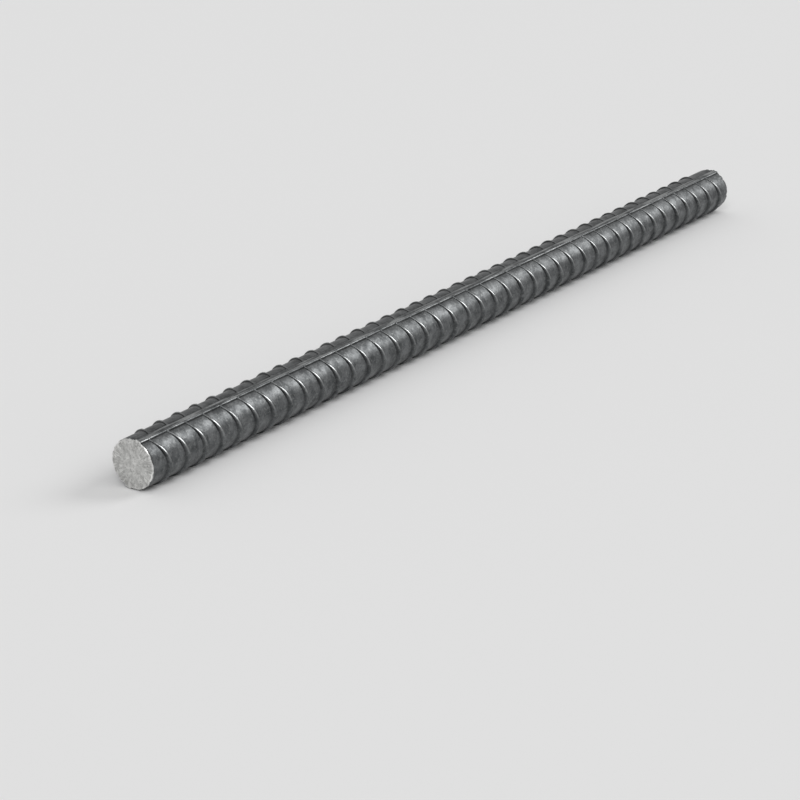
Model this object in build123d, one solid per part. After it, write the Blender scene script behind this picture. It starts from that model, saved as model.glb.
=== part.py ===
from build123d import *
import os
from math import asin, atan2, cos, degrees, floor, pi, radians, sin, sqrt, tan

# A cut length of ribbed reinforcing bar, nominal 12 mm, lying on the ground as it comes to rest.
# The bar runs along Y with its near end at -Y. Z is up, Z = 0 is the ground, and sizes are in mm.
# Until it is rolled to rest, its longitudinal ribs stand at +Z and -Z, and its transverse ribs
# fill the +X and -X sides between them.

# The round core, sawn square at both ends
core_diameter = 11.5
bar_length = 250.0

# The two longitudinal ribs, left where the rolls meet
spine_height = 0.25
spine_top_width = 1.4
spine_foot_width = 1.8
spine_edge_radius = 0.3

# The transverse ribs, one row on each side. The lean tips a rib's two feet towards the near end.
rib_height = 0.8
rib_crest_width = 0.4
rib_flank_angle = 60.0
rib_lean = 24.0
rib_pitch = 6.0
row_stagger = 1.8

# Each transverse rib goes round its side in this many straight spans of equal turn
rib_spans = 8

# Plain core between the foot of a transverse rib and a longitudinal rib, and next to each sawn end
rib_foot_gap = 0.1
plain_end = 2.8

# How deep the hidden root of a transverse rib goes into the core, and how far its crest runs on there
root_depth = 0.25
root_run_on = 0.6

core_radius = core_diameter / 2
flank_run = 1 / tan(radians(rib_flank_angle))
lean_slope = tan(radians(rib_lean))

# Seen along the bar, the crests of one row lie on a circle that is set off to that side.
# It passes rib_height above the core at the middle and meets the core at the two feet.
foot_angle = pi / 2 - (spine_foot_width / 2 + rib_foot_gap) / core_radius
crest_reach = core_radius + rib_height
foot_reach = core_radius * cos(foot_angle)
crest_offset = (crest_reach**2 - core_radius**2) / (2 * (crest_reach - foot_reach))
crest_radius = crest_reach - crest_offset

# The corners between a rib's spans, as angles about that circle's centre. The two end ones are hidden.
foot_height = core_radius * sin(foot_angle)
half_arc = atan2(foot_height, foot_reach - crest_offset) + root_run_on / core_radius
corner_angles = [half_arc * (2 * i / rib_spans - 1) for i in range(rib_spans + 1)]

# The longitudinal ribs' top and foot, as distances from the middle of the bar, and their flanks' slope
spine_top = core_radius + spine_height
spine_foot = sqrt(core_radius**2 - (spine_foot_width / 2) ** 2)
flank_slope = atan2(spine_top - spine_foot, (spine_foot_width - spine_top_width) / 2)

# Along the bar, one rib takes up the room from its feet, which stand back, to its middle
feet_setback = lean_slope * (crest_reach - foot_reach) + rib_crest_width / 2
middle_half_width = rib_crest_width / 2 + rib_height * flank_run


def spined_core():
    """The core and its two longitudinal ribs, as one profile drawn out along the bar."""
    with BuildSketch(Plane.XZ.offset(bar_length / 2)) as profile:
        Circle(core_radius)
        for turn in (0, 180):
            with BuildSketch(mode=Mode.PRIVATE) as spine:
                Polygon(
                    (0, 0),
                    (spine_foot_width / 2, spine_foot),
                    (spine_top_width / 2, spine_top),
                    (-spine_top_width / 2, spine_top),
                    (-spine_foot_width / 2, spine_foot),
                    align=None,
                )
                top_corners = spine.vertices().group_by(Axis.Y)[-1]
                fillet(top_corners, spine_edge_radius)
            add(spine.sketch, rotation=turn)
    return extrude(profile.sketch, amount=-bar_length)


def rib_edge(radius, along):
    """The corners of one long edge of a rib, from foot to foot, at along from the rib's middle."""
    corners = []
    for angle in corner_angles:
        x = crest_offset + radius * cos(angle)
        # The lean carries each corner back by its own distance from the middle of the crest
        setback = lean_slope * (crest_reach - x)
        corners.append(Vector(x, along - setback, radius * sin(angle)))
    return corners


def crescent_rib():
    """One transverse rib of the +X side, with the middle of its crest at Y = 0."""
    depth = rib_height + root_depth
    root_radius = crest_radius - depth
    crest_half = rib_crest_width / 2
    root_half = crest_half + depth * flank_run
    edges = [
        rib_edge(crest_radius, -crest_half),
        rib_edge(crest_radius, crest_half),
        rib_edge(root_radius, root_half),
        rib_edge(root_radius, -root_half),
    ]
    outlines = [[edge[0] for edge in edges], [edge[-1] for edge in edges]]
    for one, other in zip(edges, edges[1:] + edges[:1]):
        outlines += [[one[i], one[i + 1], other[i + 1], other[i]] for i in range(rib_spans)]
    return Solid(Shell([Face(Wire.make_polygon(outline)) for outline in outlines]))


def rib_row(rib, start, turn):
    """Copies of the rib from start to the far end, on the side that a turn about the bar gives."""
    first_middle = start + feet_setback
    last_middle = bar_length - plain_end - middle_half_width
    count = floor((last_middle - first_middle) / rib_pitch) + 1
    return [
        Rot(0, turn, 0) * Pos(0, first_middle + i * rib_pitch - bar_length / 2, 0) * rib
        for i in range(count)
    ]


def rest_roll(edge):
    """The roll, in radians, about the rounded edge of a spine until a rib corner touches too."""
    rolls = []
    for angle in corner_angles[1:-1]:
        corner = Vector(crest_offset + crest_radius * cos(angle), crest_radius * sin(angle))
        gap = corner - edge
        rolls.append(atan2(gap.Y, gap.X) + asin(spine_edge_radius / gap.length))
    return min(rolls)


rib = crescent_rib()
ribs = rib_row(rib, plain_end, 0) + rib_row(rib, plain_end + row_stagger, 180)
bar = spined_core().fuse(*ribs)

# At rest the bar stands on the edge of its lower longitudinal rib and on the crests of the +X row.
# This is the centre of that edge's rounding, as (X, Z) before the roll.
edge_across = spine_top_width / 2 - spine_edge_radius * tan(flank_slope / 2)
edge_down = spine_top - spine_edge_radius
roll = rest_roll(Vector(edge_across, -edge_down))
axis_height = edge_down * cos(roll) + edge_across * sin(roll) + spine_edge_radius
rebar_rod = Pos(0, 0, axis_height) * Rot(0, degrees(roll), 0) * bar

os.makedirs("parts", exist_ok=True)
export_step(rebar_rod, "parts/rebar_rod.step")

print("rolled", round(degrees(roll), 2), "degrees, axis", round(axis_height, 4), "mm above the ground")
print("transverse ribs", len(ribs), "volume", round(rebar_rod.volume, 1), "mm3")
print(rebar_rod.bounding_box())
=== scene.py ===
# %% [markdown]
# A ribbed reinforcing bar.
# The object is one straight bar of hot rolled steel, 12 mm nominal, sawn off square at both ends. It
# has a longitudinal rib along its top and its bottom, where the two rolls met, and a row of crescent
# ribs on each side, which grip the concrete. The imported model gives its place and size. This script
# lays a finer skin over that form, gives the skin its two finishes, and lights it.

# %% Load the frame
import math
import random

import bpy
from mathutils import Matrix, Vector, noise


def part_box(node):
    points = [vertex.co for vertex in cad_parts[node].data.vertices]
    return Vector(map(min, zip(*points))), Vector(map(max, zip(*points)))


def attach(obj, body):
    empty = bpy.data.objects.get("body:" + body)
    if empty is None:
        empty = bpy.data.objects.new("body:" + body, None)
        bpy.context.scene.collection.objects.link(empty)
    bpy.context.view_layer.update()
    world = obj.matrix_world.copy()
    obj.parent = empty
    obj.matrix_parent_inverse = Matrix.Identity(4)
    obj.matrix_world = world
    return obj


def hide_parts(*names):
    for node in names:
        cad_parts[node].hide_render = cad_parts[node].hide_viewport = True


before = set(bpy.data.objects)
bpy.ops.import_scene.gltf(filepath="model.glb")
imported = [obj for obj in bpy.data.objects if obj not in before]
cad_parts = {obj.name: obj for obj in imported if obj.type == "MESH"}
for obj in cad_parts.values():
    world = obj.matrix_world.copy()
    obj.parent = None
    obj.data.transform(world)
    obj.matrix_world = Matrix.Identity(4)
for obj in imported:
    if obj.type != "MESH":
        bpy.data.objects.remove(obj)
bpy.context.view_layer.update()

bar_low, bar_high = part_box("rebar_rod")
mm = 0.001
print("bar box in mm", [round(side / mm, 2) for side in bar_high - bar_low])

# %% [markdown]
# Sizes.
# Someone who changes the bar looks for its sizes in one place. The length and the height of the axis
# come from the frame, so the skin can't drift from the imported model. The cross-section is written
# here in millimetres, as a rolling mill states it, and is turned to metres once. A longitudinal rib
# is called a spine in the names, and a crescent rib is called a rib.

# %% Sizes of the bar
core_radius = 5.75 * mm
spine_height = 0.25 * mm
spine_top_half = 0.7 * mm
spine_foot_half = 0.9 * mm
spine_edge_radius = 0.3 * mm
rib_height = 0.8 * mm
rib_crest_half = 0.2 * mm
rib_flank_angle = math.radians(60)
rib_lean = math.radians(24)
rib_pitch = 6.0 * mm
row_stagger = 1.8 * mm
rib_foot_gap = 0.1 * mm
plain_end = 2.8 * mm
rest_roll = math.radians(16.65)

near_y, far_y = bar_low.y, bar_high.y
axis_height = (bar_low.z + bar_high.z) / 2
print("axis", round(axis_height / mm, 3), "mm above the floor")
print("length", round((far_y - near_y) / mm, 1), "mm")

# %% [markdown]
# Camera.
# The bar is seen from beyond its near end, from the right and from above, through a long lens. A
# camera can be placed by eye, or worked out from what is known of the object: the ellipse of the sawn
# face gives the tilt, and the way that the bar narrows gives the distance. The second way gave these
# values. They say where the near face lies from the camera, in units of the core's radius.

# %% Camera
view_azimuth = math.radians(35.2)
view_pitch = math.radians(21.02)
picture_pixels = 800
focal_pixels = 2649.4
sensor_mm = 36
face_right = -9.825
face_down = 2.361
face_ahead = 97.228

right = Vector((math.cos(view_azimuth), math.sin(view_azimuth), 0))
level = Vector((-math.sin(view_azimuth), math.cos(view_azimuth), 0))
ahead = level * math.cos(view_pitch) - Vector((0, 0, math.sin(view_pitch)))
down = ahead.cross(right)
near_face = Vector((0, near_y, axis_height))
camera_to_face = face_right * right + face_down * down + face_ahead * ahead

camera_data = bpy.data.cameras.new("camera")
camera_data.sensor_width = sensor_mm
camera_data.lens = focal_pixels / picture_pixels * sensor_mm
camera = bpy.data.objects.new("camera", camera_data)
bpy.context.scene.collection.objects.link(camera)
camera.location = near_face - core_radius * camera_to_face
camera.rotation_euler = (math.radians(90) - view_pitch, 0, view_azimuth)
bpy.context.scene.camera = camera
print("camera at", [round(c, 4) for c in camera.location], "lens", round(camera_data.lens, 1), "mm")

# %% [markdown]
# The crescent ribs.
# Seen along the bar, the crests of one row lie on a circle that is set off to that side, so a rib is
# highest at its middle and fades out next to each longitudinal rib. It also leans: its feet stand
# nearer the near end than its middle does. A displacement texture could raise the ribs, but it would
# blur their thin crests. Here rows of vertices follow each rib, so crest, flank and root stay crisp.

# %% How high a rib stands, and how far it leans back, at an angle round its side
crest_wear = 0.04 * mm
foot_nub = 0.16 * mm
lean_slope = math.tan(rib_lean)
foot_angle = math.pi / 2 - (spine_foot_half + rib_foot_gap) / core_radius
crest_reach = core_radius + rib_height
foot_reach = core_radius * math.cos(foot_angle)
crest_offset = (crest_reach**2 - core_radius**2) / (2 * (crest_reach - foot_reach))
crest_radius = crest_reach - crest_offset


def crest_height(angle):
    """Height of the crest above the core. Its edge is worn, and its feet end in small nubs."""
    across = crest_offset * math.sin(angle)
    reach = crest_offset * math.cos(angle) + math.sqrt((crest_radius - crest_wear) ** 2 - across**2)
    return max(reach - core_radius, foot_nub)


def setback(angle):
    """How far the rib's line stands back towards the near end, compared with its middle."""
    return lean_slope * (crest_reach - (core_radius + crest_height(angle)) * math.cos(angle))


print("ribs", round(crest_height(0) / mm, 2), "mm high at their middle")
print("their feet stand", round(setback(foot_angle) / mm, 2), "mm nearer the near end")

# %% [markdown]
# Columns round the bar.
# Going round, there is a side with its crescent ribs, then a longitudinal rib, and then the same
# again, turned by 180 degrees. The rounded edges of the longitudinal ribs are only 0.3 mm in radius,
# and they catch a thin line of light. Evenly spaced columns, close enough to show them, would be
# about five times as many. So the sides get even columns, and the longitudinal ribs get their own,
# closer at the edges.

# %% Columns of one side
side_steps = 48
spine_foot_angle = math.acos(spine_foot_half / core_radius)
side_angles = [spine_foot_angle * (2 * i / side_steps - 1) for i in range(side_steps + 1)]
side_signs = (1, -1)
print("columns on a side", len(side_angles))

# %% Columns of one longitudinal rib
spine_top = core_radius + spine_height
spine_foot = math.sqrt(core_radius**2 - spine_foot_half**2)
spine_slope = math.atan2(spine_top - spine_foot, spine_foot_half - spine_top_half)
edge_start = spine_top_half - spine_edge_radius * math.tan(spine_slope / 2)
edge_stop = edge_start + spine_edge_radius * math.sin(spine_slope)
half_stations = (0.96, 0.9, 0.84, 0.78, 0.7, 0.6, 0.4, 0.2)
spine_stations = half_stations + (0.0,) + tuple(-share for share in reversed(half_stations))
spine_across = [share * spine_foot_half for share in spine_stations]
columns_round = len(side_signs) * (len(side_angles) + len(spine_across))


def spine_profile(across):
    """Height above the bar's axis of a longitudinal rib: a flat top, a rounded edge and a flank."""
    if across < edge_start:
        return spine_top
    if across < edge_stop:
        arc_height = math.sqrt(spine_edge_radius**2 - (across - edge_start) ** 2)
        return spine_top - spine_edge_radius + arc_height
    return spine_foot + (spine_foot_half - across) * math.tan(spine_slope)


print("columns on a longitudinal rib", len(spine_across), "and round the bar", columns_round)

# %% [markdown]
# Where the ribs stand.
# The hot steel is squeezed into slots in the rolls. It never fills two of them quite alike, and the
# slots wear unevenly. An array of one rib would look too perfect, so each rib gets its own small
# shift along the bar and its own fullness. The draws are seeded, so every run makes the same bar.

# %% Ribs along each side
random.seed(12)
most_shift = 0.1 * mm
least_full = 0.84
most_full = 0.94
feet_setback = lean_slope * (crest_reach - foot_reach) + rib_crest_half
first_middle = near_y + plain_end + feet_setback
last_middle = far_y - plain_end - rib_crest_half - rib_height / math.tan(rib_flank_angle)
side_starts = (first_middle, first_middle + row_stagger)
rib_counts = [math.floor((last_middle - start) / rib_pitch) + 1 for start in side_starts]
slots_along = max(rib_counts)
shifts = [[random.uniform(-most_shift, most_shift) for _ in range(slots_along)] for _ in side_starts]
fullness = [[random.uniform(least_full, most_full) for _ in range(slots_along)] for _ in side_starts]
print("ribs on the sides", rib_counts)

# %% [markdown]
# Rows along the bar.
# Each rib takes a set of rows: its crown, its two crest edges, its flanks and its roots. The rows of
# a flank close up as the rib gets lower towards its feet, so a row never crosses a flank. An even
# grid would need several times as many rows for the same crispness. Beside its place, each vertex
# gets two marks that the finish uses later. The first is rubbed steel on the crown where the rib
# stands high, which is also a painted highlight, strongest where the crown faces up. The second is
# painted shade on the flanks and in the roots, most of all on the near flank, which turns from the
# key lamp.

# %% Rows of one rib
crown_shares = (0.0, 0.65, 1.0)
flank_shares = (0.25, 0.5, 0.75, 1.0)
half_rows = [("crown", share) for share in crown_shares] + [("flank", share) for share in flank_shares]
half_rows.append(("root", 1.0))
rib_rows = [(-1, row) for row in reversed(half_rows[1:])] + [(1, row) for row in half_rows]
print("rows to a rib", len(rib_rows))

# %% Place, height, rub with painted highlight, and painted shade of a row
crown_drop = 0.06
flank_spread = 1.15
root_round = 0.1 * mm
root_reach = 0.2 * mm
rubbed_height = 0.3 * mm
near_flank_painted_shade = 1.5
far_flank_painted_shade = 0.5


def eased(share):
    """From 0 to 1 with a level start and end."""
    return share * share * (3 - 2 * share)


def rib_row(side, index, row, angle):
    """Place, height above the core, rub and painted highlight, and painted shade of a rib's row at an
    angle.
    """
    direction, (zone, share) = row
    # A side with fewer ribs than the other keeps its last slot flat
    stands = index < rib_counts[side]
    height = crest_height(angle) * fullness[side][index] * stands
    middle = side_starts[side] + index * rib_pitch + shifts[side][index] - setback(angle)
    flank = flank_spread * height / math.tan(rib_flank_angle) + root_round
    rub_and_highlight_share, painted_shade_share = 0, 0
    if zone == "crown":
        offset, rise = share * rib_crest_half, 1 - crown_drop * share**2
        # Rubbed steel and painted highlight on the crown, less where the rib is low
        rub_and_highlight_share = min(height / rubbed_height, 1)
    elif zone == "flank":
        offset, rise = rib_crest_half + share * flank, (1 - crown_drop) * (1 - eased(share))
        # Painted shade on the flanks, darkest on the near flank, which turns from the key lamp
        painted_shade_share = min(near_flank_painted_shade * share, 1) if direction < 0 else far_flank_painted_shade * share**2
    else:
        offset, rise = rib_crest_half + flank + root_reach, 0
    return middle + direction * offset, height * rise, rub_and_highlight_share * stands, painted_shade_share * stands


root_place = rib_row(0, 0, rib_rows[0], 0)[0]
print("the first rib's middle rises", round((root_place - near_y) / mm, 2), "mm from the near end")

# %% [markdown]
# One side as a grid.
# The rows of every rib, a few plain rows between them and a few rows out to each sawn end make one
# grid for a side. Near the ends the rows straighten, so that the last one lies next to the cut.

# %% Grid of each side
gap_shares = (1 / 3, 2 / 3)
end_shares = (0.0, 0.15, 0.5)
rim_depth = 0.2 * mm


def grid_column(side, angle):
    """Each vertex of one column: place along the bar, height above the core, rub and painted highlight,
    painted shade.
    """
    column = []
    for index in range(slots_along):
        rib = [rib_row(side, index, row, angle) for row in rib_rows]
        if column:
            start, stop = column[-1][0], rib[0][0]
            column += [(start + (stop - start) * share, 0, 0, 0) for share in gap_shares]
        column += rib
    near, far = near_y + rim_depth, far_y - rim_depth
    first, last = column[0][0], column[-1][0]
    head = [(near + (first - near) * share, 0, 0, 0) for share in end_shares]
    tail = [(far + (last - far) * share, 0, 0, 0) for share in reversed(end_shares)]
    return head + column + tail


grids = [[grid_column(side, angle) for angle in side_angles] for side in range(len(side_signs))]
row_count = len(grids[0][0])
print("rows along the bar", row_count)
print("triangles in the skin", 2 * (row_count - 1) * columns_round)

# %% [markdown]
# Wear of the skin.
# Rolled steel is never quite smooth. It is slightly uneven over a few millimetres, and scale has
# flaked from it and left small shallow pits. The sawn ends have chipped rims. All of it is cut
# inwards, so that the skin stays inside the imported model's box.

# %% Uneven surface, flakes and chips
uneven_depth = 0.05 * mm
uneven_size = 5.0 * mm
flake_depth = 0.05 * mm
flake_size = 1.1 * mm
flake_level = 0.1
chip_depth = 0.4 * mm
chips_round = 8
chip_level = -0.1


def unit_noise(place):
    """Smooth noise from 0 to 1."""
    return 0.5 + 0.5 * noise.noise(place)


def worn_depth(point):
    """How far the surface lies under its full size, from slow unevenness and flaked scale."""
    flakes = max(noise.noise(point / flake_size) - flake_level, 0)
    return uneven_depth * unit_noise(point / uneven_size) + flake_depth * flakes


def chipped_depth(ray, end_y):
    """How much is chipped off the rim of a sawn end, in the direction of a ray from the axis."""
    place = Vector((chips_round * ray.x, end_y / mm, chips_round * ray.z))
    return chip_depth * max(noise.noise(place) - chip_level, 0)


print("deepest wear of the skin", round((uneven_depth + flake_depth * (1 - flake_level)) / mm, 3), "mm")

# %% [markdown]
# Vertices of the skin.
# The cross-section is drawn standing on its lower longitudinal rib, and each point is then rolled to
# where the bar comes to rest, on that rib's edge and the crests of one side. The longitudinal ribs
# have a shallow valley between two edges, with fine streaks along them that are rubbed bright, and
# their tops are painted lighter as a painted highlight. Their edges are slightly frayed, and a dark
# line of painted shade lies at their feet, broken by the ribs' nubs.

# %% Add a point of the skin
# Besides the places, one list holds each vertex's rub with painted highlight, and one its painted shade
vertices, rub_and_highlight, painted_shade = [], [], []


def add_point(across, up, y, rub_and_highlight_share, painted_shade_share):
    """Adds a point of the cross-section, rolled from standing upright to lying at rest."""
    x = across * math.cos(rest_roll) + up * math.sin(rest_roll)
    z = up * math.cos(rest_roll) - across * math.sin(rest_roll)
    vertices.append((x, y, z + axis_height))
    rub_and_highlight.append(rub_and_highlight_share)
    painted_shade.append(painted_shade_share)


print("the bar is rolled by", round(math.degrees(rest_roll), 2), "degrees")

# %% Points over the crescent ribs
painted_highlight_below = 0.3
painted_highlight_above = 0.88
painted_shade_below = 0.6
painted_shade_at_spine_foot = 0.9
up_gain = 2


def facing_up(sign, angle):
    """From 0 to 1. What looks 30 degrees or more above the horizon counts as facing up."""
    return min(max(up_gain * sign * math.sin(angle - rest_roll), 0), 1)


def add_side_point(side, row, column):
    """Adds a point of a side. Crests that face up get the most painted highlight, and what faces down
    the least painted shade.
    """
    y, height, rub_and_highlight_share, painted_shade_share = grids[side][column][row]
    sign, angle = side_signs[side], side_angles[column]
    ray = Vector((sign * math.cos(angle), 0, sign * math.sin(angle)))
    reach = core_radius + height - worn_depth(core_radius * ray + Vector((0, y, 0)))
    if row in (0, row_count - 1):
        reach -= chipped_depth(ray, y)
    # Painted highlight: the crests' rub is painted lighter where they face up, towards the light
    rub_and_highlight_share *= painted_highlight_below + (painted_highlight_above - painted_highlight_below) * facing_up(sign, angle)
    # The painted shade is weaker where the surface faces down
    painted_shade_share *= painted_shade_below + (1 - painted_shade_below) * facing_up(sign, angle)
    # Painted shade in the crease at the foot of each longitudinal rib
    beside_spine = column in (0, side_steps) and height < foot_nub / 2
    add_point(reach * ray.x, reach * ray.z, y, rub_and_highlight_share, max(painted_shade_share, painted_shade_at_spine_foot * beside_spine))


painted_highlight_at_top = painted_highlight_below + (painted_highlight_above - painted_highlight_below) * facing_up(1, math.pi / 2)
print("shine of a crest at the top", round(painted_highlight_at_top, 2), "and underneath", painted_highlight_below)

# %% Wear of a longitudinal rib
fray_depth = 0.08 * mm
fray_size = 1.6 * mm
fray_stretch = 0.3
streak_depth = 0.06 * mm
streak_width = 0.5 * mm
streak_length = 7.0 * mm
valley_depth = 0.06 * mm
spine_wear = 0.3
print("streaks and valley are up to", round((streak_depth + valley_depth) / mm, 2), "mm deep")

# %% Points over a longitudinal rib
top_rub_and_highlight = 0.95
top_rub_swing = 2.0
edge_rub = 0.3
edge_rub_swing = 0.5
least_rub = 0.2
valley_dulling = 0.6


def add_spine_point(side, row, across):
    """Adds a point of the longitudinal rib after a side. Across is positive next to that side."""
    sign = side_signs[side]
    here_y, here_height = grids[side][-1][row][:2]
    there_y, there_height = grids[1 - side][0][row][:2]
    share = eased((1 - across / spine_foot_half) / 2)
    y = here_y * (1 - share) + there_y * share
    frayed_at = Vector((fray_stretch * across, y, sign * core_radius)) / fray_size
    frayed = min(abs(across) + fray_depth * unit_noise(frayed_at), spine_foot_half)
    streak = noise.noise(Vector((across / streak_width, y / streak_length, sign)))
    nub = (here_height if across > 0 else there_height) * (abs(across) > edge_start)
    # The floor stops the lower longitudinal rib, and the upper one is cut alike
    ground = (axis_height - abs(across) * math.sin(rest_roll)) / math.cos(rest_roll)
    valley = max(1 - (across / edge_start) ** 2, 0) ** 2
    lowered = streak_depth * (0.5 + 0.5 * streak) + valley_depth * valley
    up = spine_profile(frayed) - lowered
    worn = spine_wear * worn_depth(Vector((sign * across, y, sign * up)))
    up = min(up + nub, spine_top, ground) - worn
    if abs(across) >= edge_stop:
        # Painted shade on the rib's flank, except where a crescent rib's nub stands
        add_point(sign * across, sign * up, y, 0, nub < foot_nub / 2)
        return
    on_edge = abs(across) > edge_start
    # The top is rubbed steel with streaks, and it is also painted lighter as a painted highlight
    top_rub_and_highlight_share = top_rub_and_highlight + top_rub_swing * streak - valley_dulling * valley
    rubbed = edge_rub + edge_rub_swing * streak if on_edge else top_rub_and_highlight_share
    add_point(sign * across, sign * up, y, min(max(rubbed, least_rub), 1), 0)


print("shine of a longitudinal rib, on its top", top_rub_and_highlight, "and on its edges", edge_rub)

# %% Go round and along the bar
for row in range(row_count):
    for side in range(len(side_signs)):
        for column in range(len(side_angles)):
            add_side_point(side, row, column)
        for across in spine_across:
            add_spine_point(side, row, across)
skin_count = len(vertices)
print("skin vertices", skin_count)

# %% [markdown]
# Sawn ends.
# The bar was cut with a saw, which leaves a bare face with streaks that fan out towards its rim, and
# a thin bright burr along part of that rim. A flat disc would look like plastic, so each face is made
# of rings with a shallow relief, and its rim is a small chamfer that catches the light.

# %% The burr
burr_height = 0.05 * mm
burr_size = 1.5 * mm
burr_level = 0.6
burr_swing = 1.4


def burr_shine(point):
    """How bright the burr is at a point of the rim, from 0 to 1."""
    place = Vector((point[0], 0, point[2])) / burr_size
    return min(max(burr_level + burr_swing * noise.noise(place), 0), 1)


rim_shine = [burr_shine(vertex) for vertex in vertices[:columns_round]]
print("shine of the near rim, from", round(min(rim_shine), 2), "to", round(max(rim_shine), 2))

# %% Rings of a sawn face
rim_shares = (0.965, 0.93)
face_shares = (0.88, 0.75, 0.6, 0.45, 0.3, 0.15)
face_relief = 0.05 * mm
relief_round = 6
relief_twist = 2


def face_ring(rim, share, end_y, inward):
    """One ring of a sawn face: the rim's outline drawn in to a share of its size."""
    ring = []
    for x, _, z in rim:
        out = Vector((x, 0, z - axis_height))
        ray = out.normalized()
        place = Vector((relief_round * ray.x, end_y / mm, relief_round * ray.z + relief_twist * share))
        streak = unit_noise(place)
        depth = burr_height * (1 - streak) if share in rim_shares else face_relief * streak
        ring.append((share * out.x, end_y + inward * depth, share * out.z + axis_height))
    return ring


print("rings on a sawn face", len(rim_shares + face_shares))

# %% [markdown]
# Faces.
# The skin is one long tube of quads. Each sawn end closes it with rings of quads and a small fan in
# the middle. Every face remembers which of the two finishes it has: rolled skin or sawn steel.

# %% Faces of the skin
rolled_finish = 0
sawn_finish = 1
faces, finishes = [], []


def join_rings(ring, next_ring, finish, flipped):
    """Quads between two rings of vertices, given as lists of indices."""
    for column in range(columns_round):
        following = (column + 1) % columns_round
        quad = (ring[column], next_ring[column], next_ring[following], ring[following])
        faces.append(quad[::-1] if flipped else quad)
        finishes.append(finish)


rings = [list(range(start, start + columns_round)) for start in range(0, skin_count, columns_round)]
for ring, next_ring in zip(rings, rings[1:]):
    join_rings(ring, next_ring, rolled_finish, flipped=False)
print("faces in the skin", len(faces))

# %% Faces of the sawn ends
for end_y, inward, outer in ((near_y, 1, rings[0]), (far_y, -1, rings[-1])):
    rim = [vertices[index] for index in outer]
    for index in outer:
        rub_and_highlight[index] = burr_shine(vertices[index])
    for share in rim_shares + face_shares:
        inner = list(range(len(vertices), len(vertices) + columns_round))
        ring = face_ring(rim, share, end_y, inward)
        vertices += ring
        rub_and_highlight += [burr_shine(point) if share == rim_shares[0] else 0 for point in ring]
        join_rings(outer, inner, sawn_finish, flipped=inward > 0)
        outer = inner
    vertices.append((0, end_y + inward * face_relief / 2, axis_height))
    rub_and_highlight.append(0)
    for column in range(columns_round):
        triangle = (outer[column], outer[(column + 1) % columns_round], len(vertices) - 1)
        faces.append(triangle if inward > 0 else triangle[::-1])
        finishes.append(sawn_finish)
painted_shade += [0] * (len(vertices) - len(painted_shade))
print("faces with the sawn ends", len(faces))

# %% [markdown]
# The bar as an object.
# A mesh holds the form and an object places it. This one rides on the imported model's body and stands
# in for its rod. The two marks of each vertex are stored with it as attributes: rubbed steel with
# painted highlight, and painted shade. They could be painted on an image, but then the skin would
# have to be unwrapped first.

# %% The bar as an object
bar_mesh = bpy.data.meshes.new("ribbed_bar")
bar_mesh.from_pydata(vertices, [], faces)
bar_mesh.polygons.foreach_set("use_smooth", [True] * len(faces))
bar_mesh.polygons.foreach_set("material_index", finishes)
bar_mesh.attributes.new("rub_and_highlight", "FLOAT", "POINT").data.foreach_set("value", rub_and_highlight)
bar_mesh.attributes.new("painted_shade", "FLOAT", "POINT").data.foreach_set("value", painted_shade)
bar = bpy.data.objects.new("ribbed_bar", bar_mesh)
bpy.context.scene.collection.objects.link(bar)
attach(bar, "root")
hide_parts("rebar_rod")
print("triangles", sum(len(face) - 2 for face in faces))

# %% [markdown]
# How the finishes are written.
# Every colour is the sRGB hex value that a picture program shows, turned to the linear light that the
# renderer works in. Here the finishes lie in coats: scale, painted shade, and bright rubbed metal that
# is also a painted highlight. A texture could be painted with them, but coats that each follow a mask
# suit every side of the bar.

# %% Linear colours


def linear(hex_colour):
    """Linear RGBA from an sRGB hex colour."""
    channels = [int(hex_colour[i:i + 2], 16) / 255 for i in (1, 3, 5)]
    return (*[c / 12.92 if c <= 0.04045 else ((c + 0.055) / 1.055) ** 2.4 for c in channels], 1)


print("mid grey, #808080, is", round(linear("#808080")[0], 3), "in linear light")

# %% [markdown]
# Hot rolled steel.
# The bar leaves the mill red hot and cools under a thin skin of iron oxide, called mill scale. To the
# eye it is a dark blue-grey with a satin sheen. It is patchy, because scale flakes and is rubbed in
# handling, and it is palest and smoothest on the crests and on the longitudinal ribs, where the pale
# rubbed steel is also a painted highlight that is strongest where they face up. A nearly black painted
# shade lies in the roots, on the near flanks and at the feet of the longitudinal ribs. The patches
# and mottle have the size of real flakes.
# Real specks of dust are under 0.2 mm, too fine to show, so they are drawn at twice that size.

# %% Start the rolled finish


def add_node(tree, kind, settings, links):
    """Adds a node, sets its properties and sockets, and links its inputs."""
    added = tree.nodes.new(kind)
    sockets = {socket.identifier: socket for socket in added.inputs}
    for name, value in settings.items():
        if name in sockets:
            sockets[name].default_value = value
        else:
            setattr(added, name, value)
    for name, source in links.items():
        tree.links.new(source, sockets[name])
    return added


hot_rolled = bpy.data.materials.new("hot_rolled_steel_mill_scale")
hot_rolled.use_nodes = True
tree = hot_rolled.node_tree
tree.nodes.clear()
place = {"Vector": add_node(tree, "ShaderNodeTexCoord", {}, {}).outputs["Object"]}
print("started", hot_rolled.name)

# %% Patches, mottle and specks of mill scale
patch_size = 2.6 * mm
mottle_size = 0.7 * mm
speck_size = 0.4 * mm
sized_noises = []
for size, detail, rough in ((patch_size, 4, 0.6), (mottle_size, 3, 0.6), (speck_size, 2, 0.5)):
    grain = {"Scale": 1 / size, "Detail": detail, "Roughness": rough}
    sized_noises.append(add_node(tree, "ShaderNodeTexNoise", grain, place).outputs["Fac"])
patches, mottle, specks = sized_noises
print("patches", patch_size / mm, "mottle", mottle_size / mm, "specks", speck_size / mm, "mm")

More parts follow.
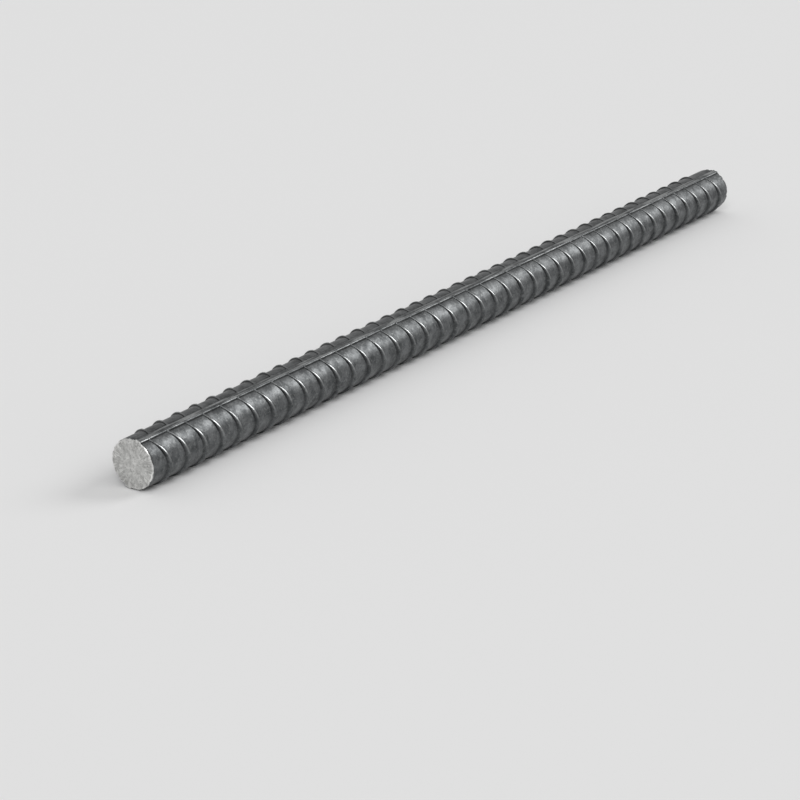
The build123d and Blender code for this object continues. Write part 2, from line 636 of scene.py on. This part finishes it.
# %% Where the scale is rubbed through, with painted highlight
# The first attribute holds rubbed steel with painted highlight, the second painted shade
rub_and_highlight_here = add_node(tree, "ShaderNodeAttribute", {"attribute_name": "rub_and_highlight"}, {}).outputs["Fac"]
painted_shade_here = add_node(tree, "ShaderNodeAttribute", {"attribute_name": "painted_shade"}, {}).outputs["Fac"]
# Slight rubbing leaves the scale whole, and the mottle makes the bare places uneven
rub_starts = {"From Min": 0.3}
reached = add_node(tree, "ShaderNodeMapRange", rub_starts, {"Value": rub_and_highlight_here}).outputs["Result"]
uneven = {"From Min": 0.3, "From Max": 0.55, "To Min": 0.6}
uneven_rub = add_node(tree, "ShaderNodeMapRange", uneven, {"Value": mottle}).outputs["Result"]
both = {"Value": reached, "Value_001": uneven_rub}
rub_and_highlight_mask = add_node(tree, "ShaderNodeMath", {"operation": "MULTIPLY"}, both).outputs["Value"]
print("scale is rubbed through above a shine of", rub_starts["From Min"])

# %% Coats of the rolled skin


def lay_coats(tree, base, coats):
    """Lays coats over a base colour. A coat thickens as its mask runs from one value to another."""
    settings, links = {"data_type": "RGBA", "A_Color": linear(base)}, {}
    for mask, starts, full, strength, shade in coats:
        limits = {"From Min": starts, "From Max": full, "To Max": strength}
        settings["B_Color"] = linear(shade)
        thickness = add_node(tree, "ShaderNodeMapRange", limits, {"Value": mask})
        links["Factor_Float"] = thickness.outputs["Result"]
        links["A_Color"] = add_node(tree, "ShaderNodeMix", settings, links).outputs["Result"]
    return links["A_Color"]


# Each coat has its mask, where it starts, where it is full, its strength and its shade
rolled_coats = (
    (patches, 0.35, 0.65, 1.0, "#737576"),
    (mottle, 0.52, 0.7, 0.7, "#858787"),
    (specks, 0.45, 0.3, 0.45, "#333435"),
    # Painted shade, nearly black, in the roots, on the near flanks and at the feet of the longitudinal
    # ribs
    (painted_shade_here, 0.2, 1.0, 0.9, "#1a1b1c"),
    # Rubbed bright steel, which is also painted highlight on crests that face up and on the longitudinal
    # ribs' tops
    (rub_and_highlight_mask, 0.0, 1.0, 1.0, "#b2b4b4"),
)
scale_colour = lay_coats(tree, "#4f5152", rolled_coats)
print("coats on the scale", len(rolled_coats))

# %% Sheen and relief of the rolled skin
satin = {"From Min": 0.3, "From Max": 0.7, "To Min": 0.46, "To Max": 0.38}
satin_scale = add_node(tree, "ShaderNodeMapRange", satin, {"Value": patches}).outputs["Result"]
polish = {"Factor_Float": rub_and_highlight_mask, "A_Float": satin_scale}
sheen = add_node(tree, "ShaderNodeMix", {"B_Float": 0.18}, polish).outputs["Result"]
grit = {"Strength": 0.6, "Distance": 0.03 * mm}
relief = add_node(tree, "ShaderNodeBump", grit, {"Height": mottle}).outputs["Normal"]
surface = {"Base Color": scale_colour, "Roughness": sheen, "Normal": relief}
shader = add_node(tree, "ShaderNodeBsdfPrincipled", {"Metallic": 1.0}, surface).outputs["BSDF"]
add_node(tree, "ShaderNodeOutputMaterial", {}, {"Surface": shader})
bar_mesh.materials.append(hot_rolled)
print("nodes in the rolled finish", len(tree.nodes))

# %% [markdown]
# Bare sawn steel.
# The cut face is clean steel, so it is much paler than the skin, and slightly warm. The blade leaves
# it matt and grainy, with soft blotches, small dark pits and faint streaks that fan out towards the
# rim. The burr on the rim was rubbed by the blade, so it is the brightest and smoothest part. A
# blade's own grooves are about 0.1 mm apart, too fine for this picture, so the grain is drawn coarser.

# %% Directions on a sawn face
bare_steel = bpy.data.materials.new("bare_sawn_steel")
bare_steel.use_nodes = True
tree = bare_steel.node_tree
tree.nodes.clear()
place = {"Vector": add_node(tree, "ShaderNodeTexCoord", {}, {}).outputs["Object"]}
to_axis = {"operation": "SUBTRACT", "Vector_001": (0, 0, axis_height)}
centred = {"Vector": add_node(tree, "ShaderNodeVectorMath", to_axis, place).outputs["Vector"]}
to_plane = {"operation": "MULTIPLY", "Vector_001": (1, 0, 1)}
flat = {"Vector": add_node(tree, "ShaderNodeVectorMath", to_plane, centred).outputs["Vector"]}
to_ray = {"operation": "NORMALIZE"}
ray = {"Vector": add_node(tree, "ShaderNodeVectorMath", to_ray, flat).outputs["Vector"]}
print("started", bare_steel.name)

# %% Streaks of the blade
streaks_round = 14
streaks_from = 2.0 * mm
streaks_full = 4.6 * mm
drift_size = 2.0 * mm
fan_out = {"operation": "SCALE", "Scale": streaks_round}
drift = {"operation": "SCALE", "Scale": 1 / drift_size}
fanned = {
    "Vector": add_node(tree, "ShaderNodeVectorMath", fan_out, ray).outputs["Vector"],
    "Vector_001": add_node(tree, "ShaderNodeVectorMath", drift, centred).outputs["Vector"],
}
together = {"operation": "ADD"}
fan = {"Vector": add_node(tree, "ShaderNodeVectorMath", together, fanned).outputs["Vector"]}
fan_noise = {"Scale": 1, "Detail": 3, "Roughness": 0.6}
streaks = add_node(tree, "ShaderNodeTexNoise", fan_noise, fan).outputs["Fac"]
streak_limits = {"From Min": 0.55, "From Max": 0.4}
streak = add_node(tree, "ShaderNodeMapRange", streak_limits, {"Value": streaks}).outputs["Result"]
from_middle = add_node(tree, "ShaderNodeVectorMath", {"operation": "LENGTH"}, flat).outputs["Value"]
fade_limits = {"From Min": streaks_from, "From Max": streaks_full, "To Min": 0.1, "To Max": 0.5}
fade = add_node(tree, "ShaderNodeMapRange", fade_limits, {"Value": from_middle}).outputs["Result"]
both = {"Value": streak, "Value_001": fade}
blade_marks = add_node(tree, "ShaderNodeMath", {"operation": "MULTIPLY"}, both).outputs["Value"]
print("streaks grow from", streaks_from / mm, "to", streaks_full / mm, "mm from the middle")

# %% Coats of the sawn faces
blotch_size = 1.3 * mm
grain_size = 0.45 * mm
blotch = {"Scale": 1 / blotch_size, "Detail": 3, "Roughness": 0.6}
blotches = add_node(tree, "ShaderNodeTexNoise", blotch, place).outputs["Fac"]
fine = {"Scale": 1 / grain_size, "Detail": 3, "Roughness": 0.7}
grain = add_node(tree, "ShaderNodeTexNoise", fine, place).outputs["Fac"]
burr = add_node(tree, "ShaderNodeAttribute", {"attribute_name": "rub_and_highlight"}, {}).outputs["Fac"]
sawn_coats = (
    (blotches, 0.35, 0.65, 1.0, "#e6e6e4"),
    (blade_marks, 0.0, 1.0, 1.0, "#9a9a98"),
    (grain, 0.48, 0.3, 0.7, "#858583"),
    (burr, 0.0, 1.0, 1.0, "#f0f0ee"),
)
steel_colour = lay_coats(tree, "#c3c3c1", sawn_coats)
print("coats on the sawn steel", len(sawn_coats))

# %% Sheen and relief of the sawn faces
rubbed = {"To Min": 0.55, "To Max": 0.22}
matt = add_node(tree, "ShaderNodeMapRange", rubbed, {"Value": burr}).outputs["Result"]
grit = {"Strength": 0.7, "Distance": 0.05 * mm}
relief = add_node(tree, "ShaderNodeBump", grit, {"Height": grain}).outputs["Normal"]
surface = {"Base Color": steel_colour, "Roughness": matt, "Normal": relief}
shader = add_node(tree, "ShaderNodeBsdfPrincipled", {"Metallic": 1.0}, surface).outputs["BSDF"]
add_node(tree, "ShaderNodeOutputMaterial", {}, {"Surface": shader})
bar_mesh.materials.append(bare_steel)
print("nodes in the sawn finish", len(tree.nodes))

# %% [markdown]
# Floor and light.
# A dark bar shows its form by what it reflects, so it lies on a pale matt floor under an even pale
# sky, with two lamps. The key lamp shines from beyond the far end, so that the ribs and the core throw
# its light to the camera as a soft band. The front lamp lights the sawn face and its burr. Soft boxes
# near the bar would leave bright pools on the floor. So both lamps are distant ones, and each is as
# wide in the sky as such a box would look from the bar.

# %% Floor
floor_half = 10.0
floor_corners = [(floor_half * x, floor_half * y, 0) for x, y in ((-1, -1), (1, -1), (1, 1), (-1, 1))]
floor_mesh = bpy.data.meshes.new("studio_floor")
floor_mesh.from_pydata(floor_corners, [], [(0, 1, 2, 3)])
floor = bpy.data.objects.new("studio_floor", floor_mesh)
bpy.context.scene.collection.objects.link(floor)
floor_paint = bpy.data.materials.new("pale_floor_paint")
floor_paint.use_nodes = True
tree = floor_paint.node_tree
tree.nodes.clear()
paint = {"Base Color": linear("#ececec"), "Roughness": 0.9}
shader = add_node(tree, "ShaderNodeBsdfPrincipled", paint, {}).outputs["BSDF"]
add_node(tree, "ShaderNodeOutputMaterial", {}, {"Surface": shader})
floor_mesh.materials.append(floor_paint)
print("floor", 2 * floor_half, "m square")

# %% Sky
world = bpy.data.worlds.new("studio")
bpy.context.scene.world = world
world.use_nodes = True
tree = world.node_tree
tree.nodes.clear()
studio = {"Color": linear("#bcbcbc"), "Strength": 1.0}
sky = add_node(tree, "ShaderNodeBackground", studio, {}).outputs["Background"]
add_node(tree, "ShaderNodeOutputWorld", {}, {"Surface": sky})
print("sky strength", studio["Strength"])

# %% Lamps
lamp_width = math.radians(31)


def soft_lamp(name, toward, strength):
    """A distant lamp that shines from a direction, as wide in the sky as a soft box near the bar."""
    lamp_data = bpy.data.lights.new(name, "SUN")
    lamp_data.angle = lamp_width
    lamp_data.energy = strength
    lamp = bpy.data.objects.new(name, lamp_data)
    bpy.context.scene.collection.objects.link(lamp)
    lamp.rotation_euler = Vector(toward).to_track_quat("Z", "Y").to_euler()
    print(name, "shines from", toward)


soft_lamp("key_lamp", toward=(0.47, 0.70, 0.54), strength=0.97)
soft_lamp("front_lamp", toward=(0.4, -0.7, 0.75), strength=1.0)

# %% [markdown]
# Last settings.
# Blender's usual view transform softens bright colours. The standard one shows a colour as it is
# written, which suits a part that will stand in other scenes.

# %% Colour management
bpy.context.scene.view_settings.view_transform = "Standard"
print("view transform", bpy.context.scene.view_settings.view_transform)
